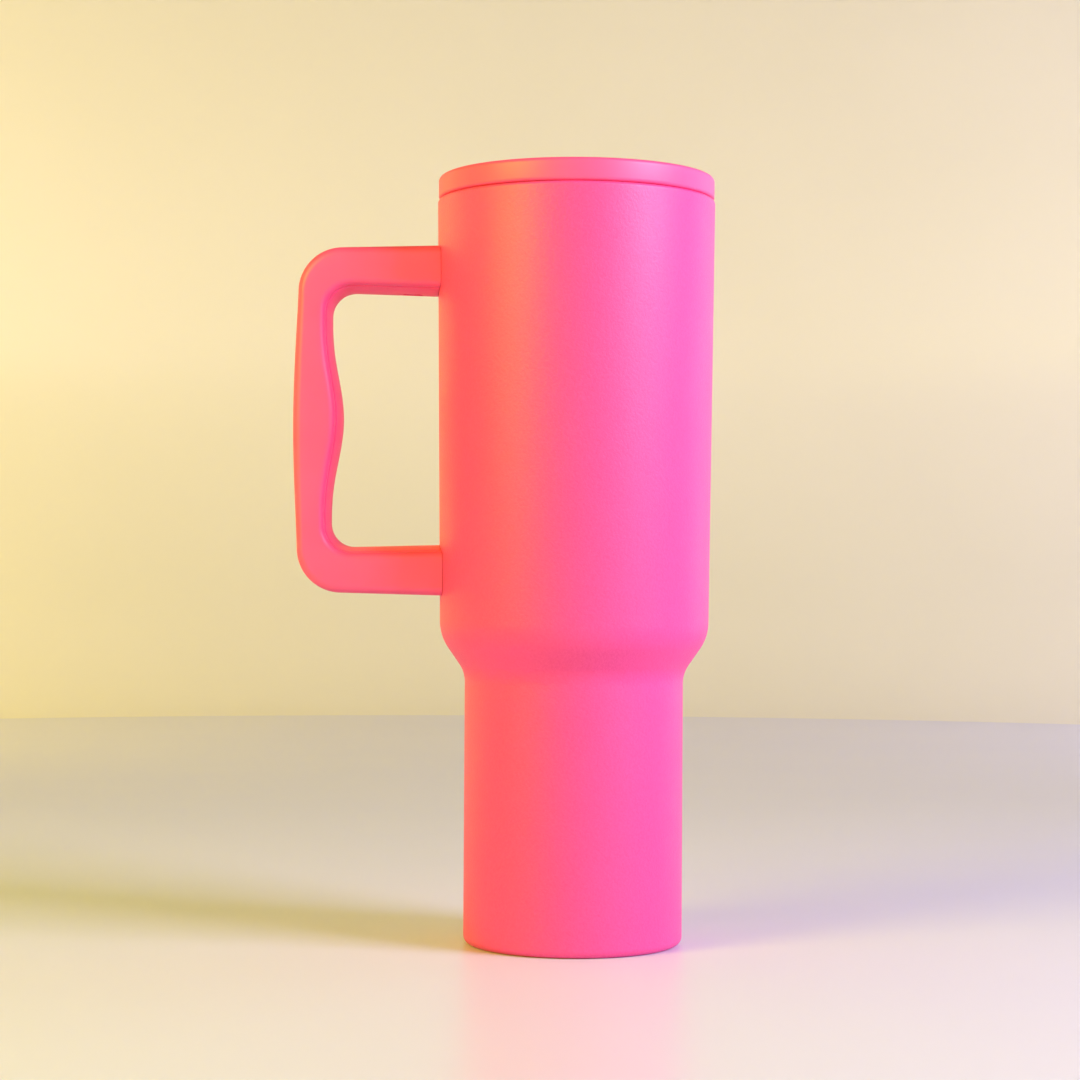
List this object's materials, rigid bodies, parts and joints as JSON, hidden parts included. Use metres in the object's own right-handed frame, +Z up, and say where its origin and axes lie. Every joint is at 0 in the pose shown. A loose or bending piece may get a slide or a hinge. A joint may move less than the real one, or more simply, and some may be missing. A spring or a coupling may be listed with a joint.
{
  "type": "insulated tumbler",
  "caption": "Tall vacuum-insulated tumbler with a side handle, a narrower base for cup holders and a screw-on lid with a rotating cover.",
  "frame": {"origin": "on the cup's axis, at the surface it stands on", "axes": "+Z up along the cup's axis, the handle towards -X"},
  "size_m": [0.1422, 0.0942, 0.2593],
  "materials": {
    "powder_coat": "fine-grained satin powder coat",
    "moulded_plastic": "satin moulded plastic",
    "soft_grip": "matte soft-touch layer",
    "silicone": "translucent white silicone",
    "steel": "brushed stainless steel",
    "sealing_glass": "fused sealing glass"
  },
  "bodies": {
    "cup": {"outer_shell": "powder_coat", "inner_liner": "steel", "vacuum_base_plate": "steel", "vacuum_seal": "sealing_glass", "getter": "steel", "base_cover": "powder_coat", "upper_handle_lug": "steel", "lower_handle_lug": "steel", "handle_frame": "moulded_plastic", "grip_insert": "soft_grip", "upper_handle_screw": "steel", "lower_handle_screw": "steel", "upper_screw_plug": "moulded_plastic", "lower_screw_plug": "moulded_plastic"},
    "gasket": {"lid_gasket": "silicone"},
    "lid": {"lid_body": "moulded_plastic", "lid_lower_plate": "moulded_plastic", "straw_hole_seal": "silicone", "sip_hole_seal": "silicone", "cover_washer": "steel", "cover_screw": "steel", "cover_cap": "moulded_plastic"},
    "cover": {"rotating_cover": "moulded_plastic"}
  },
  "joints": [
    {"name": "lid_lift", "type": "slide", "parent": "cup", "child": "gasket", "axis": [0, 0, 1], "range_m": [0, 0.0202]},
    {"name": "lid_turn", "type": "hinge", "parent": "gasket", "child": "lid", "pos_m": [0, 0, 0.25], "axis": [0, 0, 1], "range_deg": [0, 900]},
    {"name": "cover_turn", "type": "hinge", "parent": "lid", "child": "cover", "pos_m": [0, 0, 0.257], "axis": [0, 0, 1], "range_deg": [-90, 90]}
  ],
  "couplings": [
    {"joint": "lid_lift", "follows": "lid_turn", "m_per_rad": 0.0012732}
  ]
}
